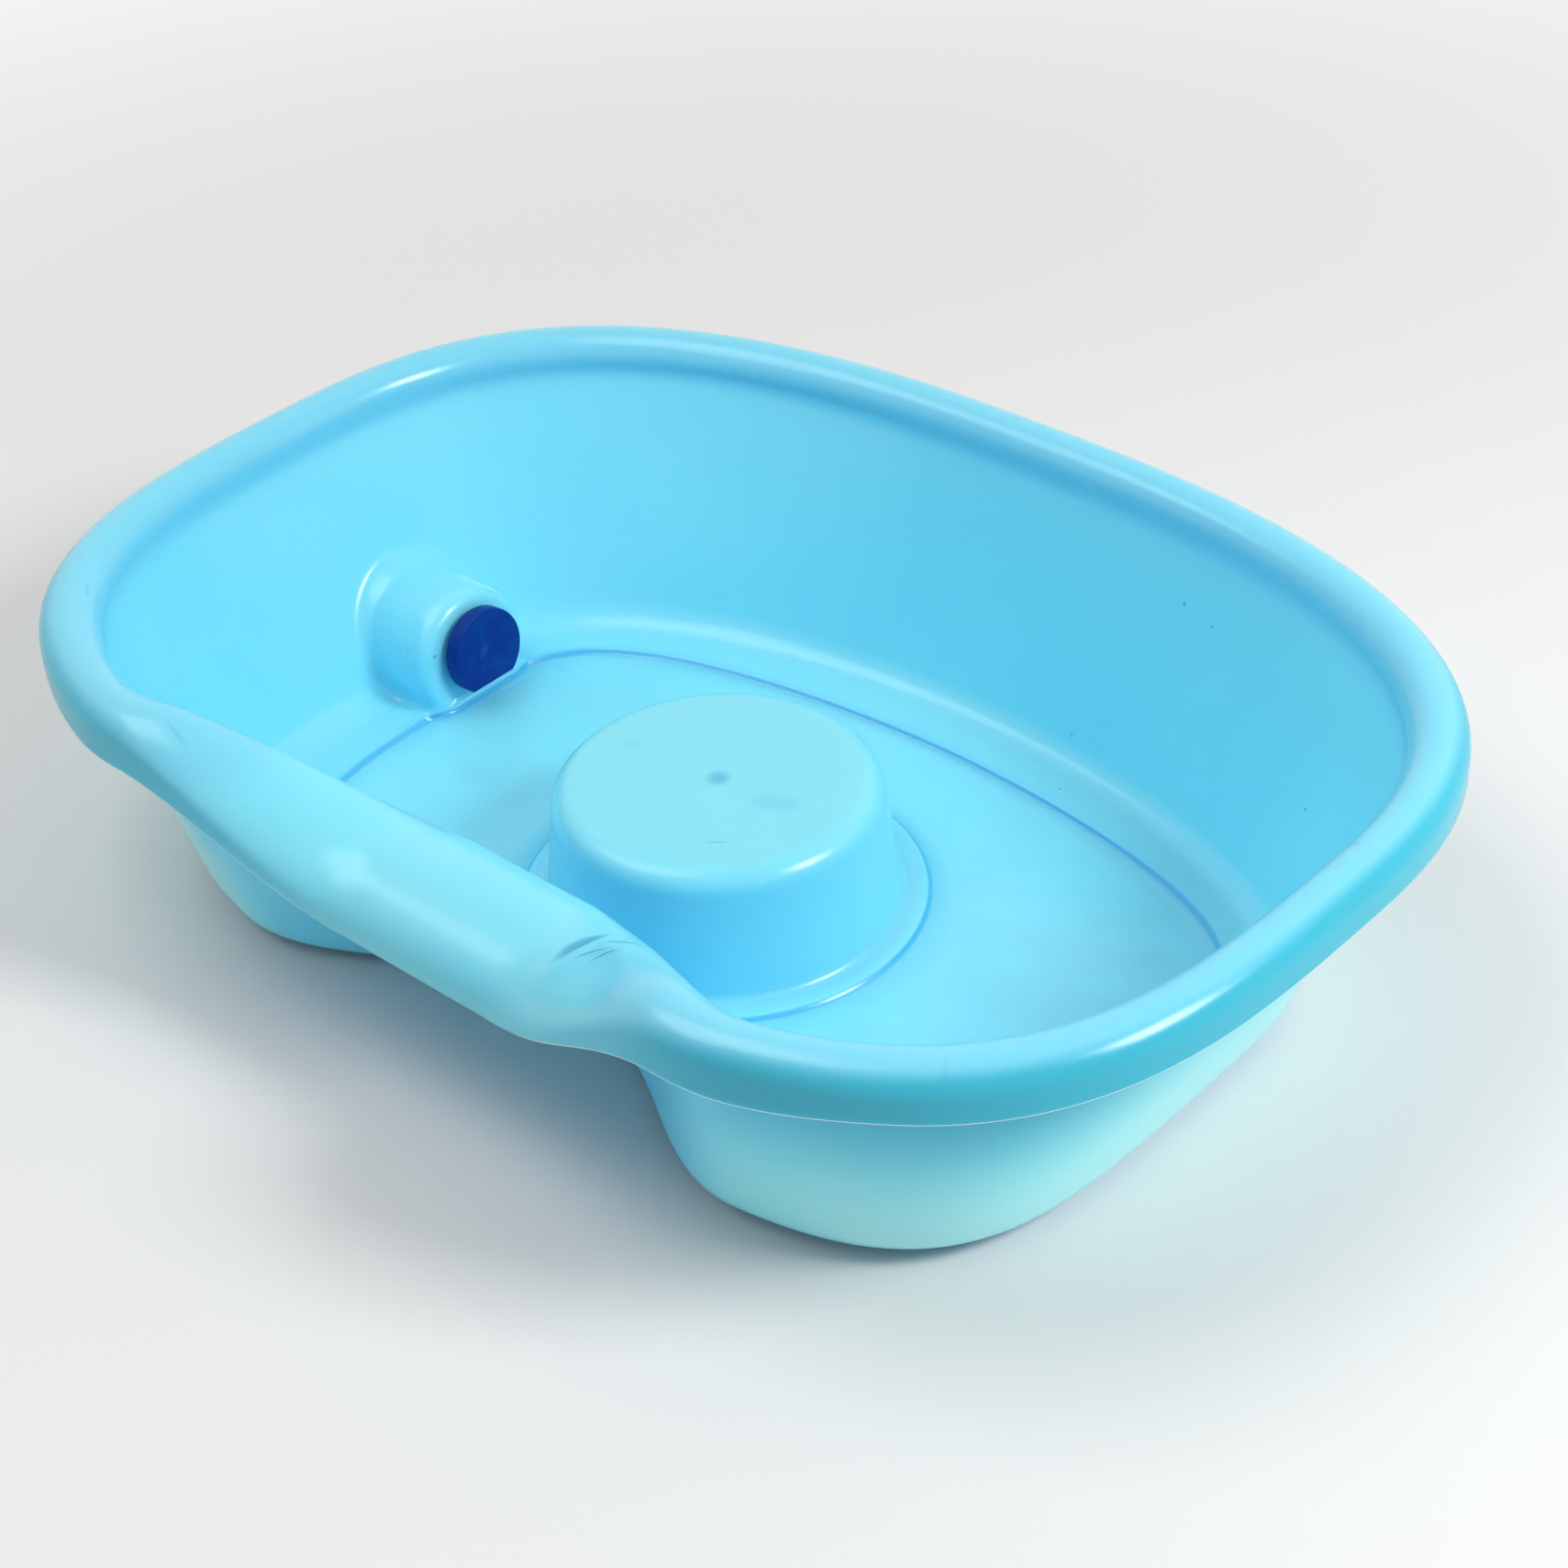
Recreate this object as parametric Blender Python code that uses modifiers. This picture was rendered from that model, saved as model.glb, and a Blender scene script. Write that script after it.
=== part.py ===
"""Portable shampoo basin, modelled in Blender 4.5.

A moulded tub with a rolled rim, a lowered neck rest in its front side, a hollow pedestal
in its floor, and a drain boss in its left end wall that a push-in stopper closes.

Frame: metres, +Z up. X runs along the basin, the neck rest faces -Y, and the origin is
at the middle of the basin's box, on the surface that it stands on.
"""

import math
from typing import NamedTuple

import bmesh
import bpy
from mathutils import Matrix

# Whole basin
BASIN_LENGTH = 0.485
BASIN_WIDTH = 0.3447
BASIN_HEIGHT = 0.1085
SKIN = 0.0024

# Plan: two half outlines, back and front, that meet on the line y = SPLIT_Y
SPLIT_Y = 0.0088
FRONT_BOW = 0.0088
RIM_BACK_POWER = 2.6
RIM_FRONT_POWER = 3.25
FOOT_BACK_POWER = 3.05
FOOT_FRONT_POWER = 4.5
FLOOR_BACK_POWER = 3.85
FLOOR_FRONT_POWER = 3.7
FOOT_ALONG_POWER = 1.8
FOOT_SHIFT = 0.004

# Walls and rim
END_LEAN = 0.0356
BACK_LEAN = 0.033
FRONT_LEAN = 0.0245
FOOT_FILLET = 0.0098
RIM_RADIUS = 0.0095
SKIRT_DROP = 0.0075
SKIRT_SAG = 0.0026
SAG_SPAN = 0.19
SAG_SHARE = 0.25
WALL_TOP_ANGLE = math.radians(-18)

# Neck rest: a wide saddle that the rim and the front wall run into
REST_RIM_SPAN = 0.144
REST_FOOT_SPAN = 0.112
REST_DROP_SPAN = 0.121
REST_SPREAD_SHARE = 0.81
REST_DROP_SHARE = 0.72
REST_WIDTH = 0.0565
REST_RISE = 0.0187
REST_CROWN_HEIGHT = 0.0738
REST_SETBACK = 0.0141
REST_SKIRT_DROP = 0.0012
REST_WALL_ANGLE = math.radians(-8)

# Floor: a standing flat, with a raised band around it
BAND_WIDTH = 0.024
BAND_RISE = 0.002
STEP_RUN = 0.002

# Pedestal, hollow and open from below
PEDESTAL_Y = -0.0162
PEDESTAL_HEIGHT = 0.049
PEDESTAL_RADIUS = 0.058
PEDESTAL_FLARE = 0.004
PEDESTAL_EDGE = 0.0085
PEDESTAL_COVE = 0.004
LEDGE_WIDTH = 0.009
LEDGE_RISE = 0.0015
LEDGE_RUN = 0.002

# From the pedestal's ledge to the corner at the foot of the wall in front of it, where
# floor, step, band and fillet each take a quarter
FRONT_GAP = 0.0088

# Drain boss, its recess and its hose spigot. The boss is level, but its face leans back,
# and the drain's axis stands square on that face
DRAIN_Y = 0.0180
DRAIN_HEIGHT = 0.0240
DRAIN_TILT = math.radians(6)
BOSS_RADIUS = 0.0268
BOSS_DROP = 0.0045
BOSS_REACH = 0.0239
BOSS_EDGE = 0.005
SPIGOT_WALL = 0.0022
SPIGOT_LENGTH = 0.028
SPIGOT_BEAD = 0.001
BEAD_LENGTH = 0.003

# Stopper and its sealing ring
PLUG_HEAD_RADIUS = 0.0168
PLUG_HEAD_LENGTH = 0.006
PLUG_FLAT_OFFSET = 0.0133
PLUG_CHAMFER = 0.0008
SHANK_RADIUS = 0.0096
SHANK_TAPER = 0.0006
SHANK_LENGTH = 0.014
SEAL_WIDTH = 0.0036
SEAL_LENGTH = 0.0015

# Clearance between pieces, and overrun of cutters
CLEARANCE = 0.0003
OVERRUN = 0.010

# Mesh fineness, and how often an outline's radius is refined
SEGMENTS = 80
NEWTON_STEPS = 12
TURN_STEPS = 40
EDGE_STEPS = 3
COVE_STEPS = 2
FILLET_STEPS = 3
WALL_STEPS = 3
RIM_STEPS = 6
MERGE = 0.00001
SHARP_ANGLE = math.radians(35)

# Colours, as linear red, green, blue and alpha, and roughness
BASIN_COLOUR = (0.16, 0.68, 0.90, 1.0)
BASIN_ROUGHNESS = 0.3
PLUG_COLOUR = (0.003, 0.03, 0.22, 1.0)
PLUG_ROUGHNESS = 0.4
SEAL_COLOUR = (0.01, 0.012, 0.02, 1.0)
SEAL_ROUGHNESS = 0.7


class Outline(NamedTuple):
    """A closed plan outline: reaches from its centre on the split line, and powers.

    Its back half has a power of its own along X.
    """

    middle_x: float
    half_length: float
    back: float
    front: float
    along_power: float
    back_power: float
    front_power: float


class Station(NamedTuple):
    """One ring of the skin: its outline and height, and its place at the neck rest.

    The ring starts to leave its outline for the neck rest at a half span from x = 0, and
    sags beside the rest.
    """

    outline: Outline
    height: float
    rest_y: float
    rest_height: float
    half_span: float
    sag: float = 0.0


def blend(start, end, share):
    """Return the value at a share of the way from start to end."""
    return start + (end - start) * share


def blend_outlines(start, end, share):
    """Return the outline at a share of the way from one outline to another."""
    return Outline(*(blend(a, b, share) for a, b in zip(start, end)))


def grow(outline, distance):
    """Return an outline moved outward by a distance on every side."""
    return outline._replace(
        half_length=outline.half_length + distance,
        back=outline.back + distance,
        front=outline.front + distance,
    )


def rim_centre_outline():
    """Return the outline that the middle of the rim's roll follows."""
    return Outline(
        middle_x=0,
        half_length=BASIN_LENGTH / 2 - RIM_RADIUS,
        back=BASIN_WIDTH / 2 - SPLIT_Y - RIM_RADIUS,
        front=BASIN_WIDTH / 2 + SPLIT_Y + FRONT_BOW - RIM_RADIUS,
        along_power=RIM_BACK_POWER,
        back_power=RIM_BACK_POWER,
        front_power=RIM_FRONT_POWER,
    )


def foot_outline():
    """Return the outline of the corner where the walls would meet the floor band."""
    top = grow(rim_centre_outline(), -RIM_RADIUS)
    return Outline(
        middle_x=FOOT_SHIFT,
        half_length=top.half_length - END_LEAN,
        back=top.back - BACK_LEAN,
        front=top.front - FRONT_LEAN,
        along_power=FOOT_ALONG_POWER,
        back_power=FOOT_BACK_POWER,
        front_power=FOOT_FRONT_POWER,
    )


def floor_outline():
    """Return the outline of the flat that the basin stands on."""
    return grow(foot_outline(), -BAND_WIDTH)._replace(
        back_power=FLOOR_BACK_POWER, front_power=FLOOR_FRONT_POWER
    )


def rest_share(x, half_span, ramp_share):
    """Return how far a ring has turned into the neck rest at a place along X.

    The turn is eased in over a ramp that takes a share of the half span.
    """
    share = min(max((half_span - abs(x)) / (half_span * ramp_share), 0), 1)
    return share * share * (3 - 2 * share)


def ray_length(along, across, along_power, across_power):
    """Return how far along a ray its two powered terms add up to 1."""
    length = 1 / max(along, across)
    for _ in range(NEWTON_STEPS):
        along_term = (length * along) ** along_power
        across_term = (length * across) ** across_power
        slope = (along_power * along_term + across_power * across_term) / length
        length -= (along_term + across_term - 1) / slope
    return length


def outline_ring(station):
    """Return a station's ring of points, with its front drawn into the neck rest."""
    outline = station.outline
    front_y = SPLIT_Y - outline.front
    points = []
    for index in range(SEGMENTS):
        turn = 2 * math.pi * index / SEGMENTS
        along, across = math.cos(turn), math.sin(turn)
        at_back = across >= 0
        reach = outline.back if at_back else outline.front
        radius = ray_length(
            abs(along / outline.half_length),
            abs(across / reach),
            outline.along_power if at_back else outline.front_power,
            outline.back_power if at_back else outline.front_power,
        )
        x, y = outline.middle_x + radius * along, SPLIT_Y + radius * across
        spread = 0 if at_back else rest_share(x, station.half_span, REST_SPREAD_SHARE)
        drop = 0 if at_back else rest_share(x, REST_DROP_SPAN, REST_DROP_SHARE)
        sag = 0 if at_back else rest_share(x, SAG_SPAN, SAG_SHARE) * station.sag
        points.append((
            x,
            y + (station.rest_y - front_y) * spread,
            blend(station.height - sag, station.rest_height, drop),
        ))
    return points


def circle_ring(radius, height):
    """Return a ring of points around the pedestal's axis."""
    turns = (2 * math.pi * index / SEGMENTS for index in range(SEGMENTS))
    return [
        (radius * math.cos(turn), PEDESTAL_Y + radius * math.sin(turn), height)
        for turn in turns
    ]


def pedestal_foot_radius():
    """Return the radius at which the pedestal's wall would meet its ledge."""
    return PEDESTAL_RADIUS + PEDESTAL_FLARE


def ledge_radius():
    """Return the radius of the foot of the ledge around the pedestal."""
    return pedestal_foot_radius() + LEDGE_WIDTH + LEDGE_RUN


def pedestal_rings():
    """Return the pedestal's rings, from its flat top out to the floor."""
    top = SKIN + PEDESTAL_HEIGHT
    ledge = SKIN + LEDGE_RISE
    flat = PEDESTAL_RADIUS - PEDESTAL_EDGE
    rings = [circle_ring(flat / 2, top)]
    for step in range(EDGE_STEPS + 1):
        angle = math.pi / 2 * step / EDGE_STEPS
        rings.append(circle_ring(
            flat + PEDESTAL_EDGE * math.sin(angle),
            top - PEDESTAL_EDGE * (1 - math.cos(angle)),
        ))
    foot = pedestal_foot_radius()
    for step in range(COVE_STEPS + 1):
        angle = math.pi / 2 * step / COVE_STEPS
        rings.append(circle_ring(
            foot + PEDESTAL_COVE * (1 - math.cos(angle)),
            ledge + PEDESTAL_COVE * (1 - math.sin(angle)),
        ))
    rings.append(circle_ring(foot + LEDGE_WIDTH, ledge))
    rings.append(circle_ring(ledge_radius(), SKIN))
    return rings


def rest_roll(angle):
    """Return the y and height of the neck rest's dome at an angle over its crown."""
    outer_y = -BASIN_WIDTH / 2 + REST_SETBACK
    centre_y = outer_y + REST_WIDTH / 2
    base_height = REST_CROWN_HEIGHT - REST_RISE
    return (
        centre_y + REST_WIDTH / 2 * math.cos(angle),
        base_height + REST_RISE * math.sin(angle),
    )


def rest_foot_y():
    """Return where the front wall's foot stands behind the neck rest."""
    return PEDESTAL_Y - ledge_radius() - FRONT_GAP


def front_strip():
    """Return the width of each strip of floor and foot in front of the pedestal."""
    return FRONT_GAP / 4


def floor_stations():
    """Return the stations of the floor's step and raised band."""
    floor = floor_outline()
    band_height = SKIN + BAND_RISE
    edge_y = PEDESTAL_Y - ledge_radius() - front_strip()
    band_y = edge_y - front_strip()
    return [
        Station(floor, SKIN, edge_y, SKIN, REST_FOOT_SPAN),
        Station(grow(floor, STEP_RUN), band_height, band_y, band_height, REST_FOOT_SPAN),
    ]


def wall_stations():
    """Return the stations of the walls, from the fillet at their foot to the rim."""
    foot = foot_outline()
    top = grow(rim_centre_outline(), -RIM_RADIUS * math.cos(WALL_TOP_ANGLE))
    foot_height = SKIN + BAND_RISE
    rim_height = BASIN_HEIGHT - RIM_RADIUS
    top_height = rim_height + RIM_RADIUS * math.sin(WALL_TOP_ANGLE)
    rest_top_y, rest_top_height = rest_roll(REST_WALL_ANGLE)
    fillet_share = FOOT_FILLET / (top_height - foot_height)
    stations = []
    for step in range(FILLET_STEPS + 1):
        share = step / FILLET_STEPS
        inset = (1 - share) ** 2 * FOOT_FILLET
        climb = share ** 2 * fillet_share
        outline = grow(blend_outlines(foot, top, climb), -inset)
        rest_inset = (1 - share) ** 2 * front_strip()
        stations.append(Station(
            outline,
            blend(foot_height, top_height, climb),
            blend(rest_foot_y(), rest_top_y, climb) + rest_inset,
            blend(foot_height, rest_top_height, climb),
            blend(REST_FOOT_SPAN, REST_RIM_SPAN, climb),
        ))
    for step in range(WALL_STEPS):
        climb = blend(fillet_share, 1, (step + 1) / WALL_STEPS)
        stations.append(Station(
            blend_outlines(foot, top, climb),
            blend(foot_height, top_height, climb),
            blend(rest_foot_y(), rest_top_y, climb),
            blend(foot_height, rest_top_height, climb),
            blend(REST_FOOT_SPAN, REST_RIM_SPAN, climb),
        ))
    return stations


def rim_stations():
    """Return the stations of the rolled rim and of its skirt."""
    centre = rim_centre_outline()
    rim_height = BASIN_HEIGHT - RIM_RADIUS
    stations = []
    for step in range(RIM_STEPS + 1):
        angle = math.pi * step / RIM_STEPS
        rest_y, rest_height = rest_roll(angle)
        stations.append(Station(
            grow(centre, -RIM_RADIUS * math.cos(angle)),
            rim_height + RIM_RADIUS * math.sin(angle),
            rest_y,
            rest_height,
            REST_RIM_SPAN,
        ))
    last = stations[-1]
    stations.append(last._replace(
        height=last.height - SKIRT_DROP,
        rest_height=last.rest_height - REST_SKIRT_DROP,
        sag=SKIRT_SAG,
    ))
    return stations


def new_object(name, mesh, collection, material=None):
    """Link a new object that holds a mesh, and give it a material."""
    piece = bpy.data.objects.new(name, mesh)
    collection.objects.link(piece)
    if material:
        mesh.materials.append(material)
    return piece


def loft_rings(rings):
    """Return a bmesh of the surface through rings of equal size, facing up and inward."""
    mesh = bmesh.new()
    loops = [[mesh.verts.new(point) for point in ring] for ring in rings]
    for inner, outer in zip(loops, loops[1:]):
        for index in range(SEGMENTS):
            after = (index + 1) % SEGMENTS
            mesh.faces.new((inner[index], outer[index], outer[after], inner[after]))
    mesh.normal_update()
    return mesh


def finish_mesh(mesh, name):
    """Turn a bmesh into a smooth-shaded mesh with sharp edges kept."""
    data = bpy.data.meshes.new(name)
    mesh.to_mesh(data)
    mesh.free()
    data.shade_smooth()
    data.set_sharp_from_angle(angle=SHARP_ANGLE)
    return data


def basin_surface():
    """Return the mesh of the basin's upper side, from the pedestal out to the skirt."""
    stations = floor_stations() + wall_stations() + rim_stations()
    rings = pedestal_rings() + [outline_ring(station) for station in stations]
    mesh = loft_rings(rings)
    first = mesh.verts[:SEGMENTS]
    pole = mesh.verts.new((0, PEDESTAL_Y, SKIN + PEDESTAL_HEIGHT))
    for index in range(SEGMENTS):
        mesh.faces.new((pole, first[index], first[(index + 1) % SEGMENTS]))
    return finish_mesh(mesh, "basin_shell")


def skin_core():
    """Return a closed mesh that ends halfway through the floor's and walls' skin."""
    stations = floor_stations() + wall_stations()
    mesh = loft_rings([outline_ring(station) for station in stations])
    for vert in mesh.verts:
        vert.co -= vert.normal * SKIN / 2
    mesh.faces.new(mesh.verts[:SEGMENTS])
    mesh.faces.new(reversed(mesh.verts[-SEGMENTS:]))
    bmesh.ops.recalc_face_normals(mesh, faces=mesh.faces)
    return finish_mesh(mesh, "skin_core")


def turned_mesh(name, profile):
    """Return the mesh of a profile of (radius, height) points, outer side running down."""
    mesh = bmesh.new()
    verts = [mesh.verts.new((radius, 0, height)) for radius, height in profile]
    for start, end in zip(verts, verts[1:]):
        mesh.edges.new((start, end))
    data = bpy.data.meshes.new(name)
    mesh.to_mesh(data)
    mesh.free()
    return data


def add_screw(piece):
    """Turn a profile once around its own Z axis."""
    screw = piece.modifiers.new("turn", "SCREW")
    screw.axis = "Z"
    screw.steps = TURN_STEPS
    screw.render_steps = TURN_STEPS
    screw.use_merge_vertices = True
    screw.merge_threshold = MERGE
    screw.use_smooth_shade = True


def add_boolean(piece, other, operation):
    """Join, cut or clip a piece with another."""
    boolean = piece.modifiers.new(other.name, "BOOLEAN")
    boolean.object = other
    boolean.operation = operation
    boolean.solver = "EXACT"


def turned_piece(name, profile, collection, axis, material=None):
    """Return a turned object whose Z axis is the drain's axis."""
    piece = new_object(name, turned_mesh(name, profile), collection, material)
    piece.parent = axis
    add_screw(piece)
    return piece


def as_cutter(piece):
    """Keep a helper shape out of the render and draw it as wire."""
    piece.hide_render = True
    piece.display_type = "WIRE"
    return piece


def bore_radius():
    """Return the radius of the drain's bore, which takes the stopper's shank."""
    return SHANK_RADIUS + CLEARANCE


def drain_face_x():
    """Return where the boss's face crosses the drain's axis."""
    foot = foot_outline()
    return foot.middle_x - foot.half_length + BOSS_REACH


def make_drain_axis(collection):
    """Return an empty on the boss's face whose Z axis points into the basin."""
    axis = bpy.data.objects.new("drain_axis", None)
    collection.objects.link(axis)
    axis.location = (drain_face_x(), DRAIN_Y, DRAIN_HEIGHT)
    axis.rotation_euler = (0, math.pi / 2 - DRAIN_TILT, 0)
    return axis


def leaning_cylinder(name, radius, front, edge, collection):
    """Return a level cylinder along X whose ends lean back like the boss's face.

    Its front lies at a distance from that face, and its front edge is rounded.
    """
    depth = BOSS_REACH + END_LEAN + OVERRUN
    level = Matrix.Translation((front - depth / 2, 0, 0)) @ Matrix.Rotation(math.pi / 2, 4, "Y")
    mesh = bmesh.new()
    bmesh.ops.create_cone(
        mesh, cap_ends=True, segments=TURN_STEPS, radius1=radius, radius2=radius,
        depth=depth, matrix=level,
    )
    if edge:
        middle = front - depth / 2
        rim = [
            side for side in mesh.edges
            if all(vert.co.x > middle for vert in side.verts)
        ]
        bmesh.ops.bevel(
            mesh, geom=rim, offset=edge, segments=EDGE_STEPS, profile=0.5, affect="EDGES"
        )
    lean = math.tan(DRAIN_TILT)
    for vert in mesh.verts:
        vert.co.x -= vert.co.z * lean
    piece = as_cutter(new_object(name, finish_mesh(mesh, name), collection))
    piece.location = (
        drain_face_x() + BOSS_DROP * lean,
        DRAIN_Y,
        DRAIN_HEIGHT - BOSS_DROP,
    )
    return piece


def make_boss_block(collection):
    """Return the solid boss, clipped halfway through the skin that it stands on."""
    block = leaning_cylinder("boss_block", BOSS_RADIUS, 0, BOSS_EDGE, collection)
    core = as_cutter(new_object("skin_core", skin_core(), collection))
    add_boolean(block, core, "INTERSECT")
    return block


def make_recess(collection):
    """Return the cutter of the hollow behind the boss, open to the outside and below."""
    return leaning_cylinder("recess", BOSS_RADIUS - SKIN, -SKIN, 0, collection)


def make_spigot(axis, collection):
    """Return the hose spigot that stands in the recess, with a bead at its end."""
    radius = bore_radius() + SPIGOT_WALL
    end = -SKIN - SPIGOT_LENGTH
    bead_start = end + BEAD_LENGTH
    profile = [
        (0, -SKIN / 2),
        (radius, -SKIN / 2),
        (radius, bead_start),
        (radius + SPIGOT_BEAD, bead_start),
        (radius, end),
        (0, end),
    ]
    return as_cutter(turned_piece("spigot", profile, collection, axis))


def make_bore(axis, collection):
    """Return the cutter of the bore through the boss's face and the spigot."""
    end = -SKIN - SPIGOT_LENGTH - OVERRUN
    profile = [(0, OVERRUN), (bore_radius(), OVERRUN), (bore_radius(), end), (0, end)]
    return as_cutter(turned_piece("bore", profile, collection, axis))


def make_basin_shell(parts, cutters, axis, material):
    """Return the moulded tub, with its boss, recess, spigot and bore."""
    shell = new_object("basin_shell", basin_surface(), parts, material)
    solidify = shell.modifiers.new("skin", "SOLIDIFY")
    solidify.thickness = SKIN
    solidify.offset = -1
    solidify.use_even_offset = True
    solidify.use_quality_normals = True
    add_boolean(shell, make_boss_block(cutters), "UNION")
    add_boolean(shell, make_recess(cutters), "DIFFERENCE")
    add_boolean(shell, make_spigot(axis, cutters), "UNION")
    add_boolean(shell, make_bore(axis, cutters), "DIFFERENCE")
    return shell


def plug_back():
    """Return how far the stopper's head stands off the boss's face."""
    return CLEARANCE + SEAL_LENGTH + CLEARANCE


def make_drain_plug(parts, cutters, axis, material):
    """Return the stopper: a head with one flat side on a tapered shank."""
    back = plug_back()
    front = back + PLUG_HEAD_LENGTH
    tip = -SHANK_LENGTH
    tip_radius = SHANK_RADIUS - SHANK_TAPER
    profile = [
        (0, front),
        (PLUG_HEAD_RADIUS - PLUG_CHAMFER, front),
        (PLUG_HEAD_RADIUS, front - PLUG_CHAMFER),
        (PLUG_HEAD_RADIUS, back),
        (SHANK_RADIUS, back),
        (SHANK_RADIUS, 0),
        (tip_radius, tip + PLUG_CHAMFER),
        (tip_radius - PLUG_CHAMFER, tip),
        (0, tip),
    ]
    plug = turned_piece("drain_plug", profile, parts, axis, material)
    bpy.ops.mesh.primitive_cube_add(size=1)
    flat = as_cutter(bpy.context.object)
    flat.name = "plug_flat"
    for collection in list(flat.users_collection):
        collection.objects.unlink(flat)
    cutters.objects.link(flat)
    cut = PLUG_HEAD_RADIUS - PLUG_FLAT_OFFSET
    flat.scale = (cut + OVERRUN, 2 * (PLUG_HEAD_RADIUS + OVERRUN), front + OVERRUN)
    flat.location = (PLUG_FLAT_OFFSET + (cut + OVERRUN) / 2, 0, (front + OVERRUN) / 2)
    flat.parent = axis
    add_boolean(plug, flat, "DIFFERENCE")
    return plug


def make_plug_seal(parts, axis, material):
    """Return the sealing ring between the stopper's head and the boss's face."""
    inner = bore_radius()
    outer = inner + SEAL_WIDTH
    top = CLEARANCE + SEAL_LENGTH
    profile = [
        (inner, CLEARANCE),
        (inner, top),
        (outer, top),
        (outer, CLEARANCE),
        (inner, CLEARANCE),
    ]
    return turned_piece("plug_seal", profile, parts, axis, material)


def make_material(name, colour, roughness):
    """Return a Principled material of a colour and roughness."""
    material = bpy.data.materials.new(name)
    material.use_nodes = True
    shader = material.node_tree.nodes["Principled BSDF"]
    shader.inputs["Base Color"].default_value = colour
    shader.inputs["Roughness"].default_value = roughness
    shader.inputs["Metallic"].default_value = 0
    material.diffuse_color = colour
    return material


def clear_scene():
    """Remove every object of the scene."""
    for old in list(bpy.data.objects):
        bpy.data.objects.remove(old, do_unlink=True)


def make_collection(name):
    """Return a new collection in the scene."""
    collection = bpy.data.collections.new(name)
    bpy.context.scene.collection.children.link(collection)
    return collection


def main():
    """Model the basin, its stopper and its sealing ring."""
    clear_scene()
    parts = make_collection("shampoo_basin")
    cutters = make_collection("cutters")
    axis = make_drain_axis(parts)
    basin_plastic = make_material("basin_plastic", BASIN_COLOUR, BASIN_ROUGHNESS)
    plug_plastic = make_material("plug_plastic", PLUG_COLOUR, PLUG_ROUGHNESS)
    seal_rubber = make_material("seal_rubber", SEAL_COLOUR, SEAL_ROUGHNESS)
    make_basin_shell(parts, cutters, axis, basin_plastic)
    make_drain_plug(parts, cutters, axis, plug_plastic)
    make_plug_seal(parts, axis, seal_rubber)


main()
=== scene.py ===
"""Portable shampoo basin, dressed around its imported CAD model.

The basin is one moulding with a rolled rim, a lowered neck rest, a hollow pedestal for
the head and a drain boss, and a stopper with a sealing ring closes its drain.

All is in metres, in the CAD model's frame: X runs along the basin, the neck rest faces
-Y, +Z is up, and z = 0 is the surface that the basin stands on.
"""

import logging
import math
from collections.abc import Callable
from dataclasses import astuple, dataclass, replace
from enum import Enum

import bmesh
import bpy
import numpy as np
from mathutils import Euler, Matrix, Vector
from mathutils.bvhtree import BVHTree


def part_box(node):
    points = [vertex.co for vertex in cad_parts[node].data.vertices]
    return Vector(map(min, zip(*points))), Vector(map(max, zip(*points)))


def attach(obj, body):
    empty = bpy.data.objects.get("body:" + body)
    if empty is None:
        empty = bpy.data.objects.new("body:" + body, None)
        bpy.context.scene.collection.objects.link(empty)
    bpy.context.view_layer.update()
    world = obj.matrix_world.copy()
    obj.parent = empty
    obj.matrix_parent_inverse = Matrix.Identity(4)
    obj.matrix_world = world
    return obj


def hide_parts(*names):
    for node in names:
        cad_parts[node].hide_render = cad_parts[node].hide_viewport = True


Piece = bpy.types.Object
Socket = bpy.types.NodeSocket

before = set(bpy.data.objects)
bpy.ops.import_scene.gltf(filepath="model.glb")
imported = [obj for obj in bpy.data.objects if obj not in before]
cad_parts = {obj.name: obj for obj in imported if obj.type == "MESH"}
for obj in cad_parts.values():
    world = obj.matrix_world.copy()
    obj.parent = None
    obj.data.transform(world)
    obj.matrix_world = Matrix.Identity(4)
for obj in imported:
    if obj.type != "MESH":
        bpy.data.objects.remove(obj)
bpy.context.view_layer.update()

LOG = logging.getLogger("shampoo_basin")
BASIN_NODE = "basin_shell"
STOPPER_NODE = "drain_plug"
SEAL_NODE = "plug_seal"


class Join(Enum):
    """The ways in which one solid changes another."""

    UNION = "UNION"
    DIFFERENCE = "DIFFERENCE"


def deselect_all() -> None:
    """Leave edit mode and deselect every object."""
    if bpy.context.object and bpy.context.object.mode != "OBJECT":
        bpy.ops.object.mode_set(mode="OBJECT")
    bpy.ops.object.select_all(action="DESELECT")


def activate(piece: Piece) -> None:
    """Make a piece the only selected object and the active one.

    Args:
        piece: The piece.
    """
    deselect_all()
    piece.select_set(True)
    bpy.context.view_layer.objects.active = piece


def edit(piece: Piece) -> None:
    """Make a piece the active one and enter edit mode."""
    activate(piece)
    bpy.ops.object.mode_set(mode="EDIT")


def named(name: str) -> Piece:
    """Name the object that an operator has just added, and its mesh.

    Args:
        name: The piece's name.

    Returns:
        The object.
    """
    piece = bpy.context.object
    piece.name = name
    piece.data.name = name
    return piece


def apply_modifier(piece: Piece, modifier: bpy.types.Modifier) -> None:
    """Apply a modifier to its piece's mesh."""
    activate(piece)
    bpy.ops.object.modifier_apply(modifier=modifier.name)


def apply_place(piece: Piece, place: Matrix) -> None:
    """Move a piece's mesh by a matrix, and leave its object at the origin."""
    piece.data.transform(place @ piece.matrix_world)
    piece.matrix_world = Matrix.Identity(4)


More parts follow.
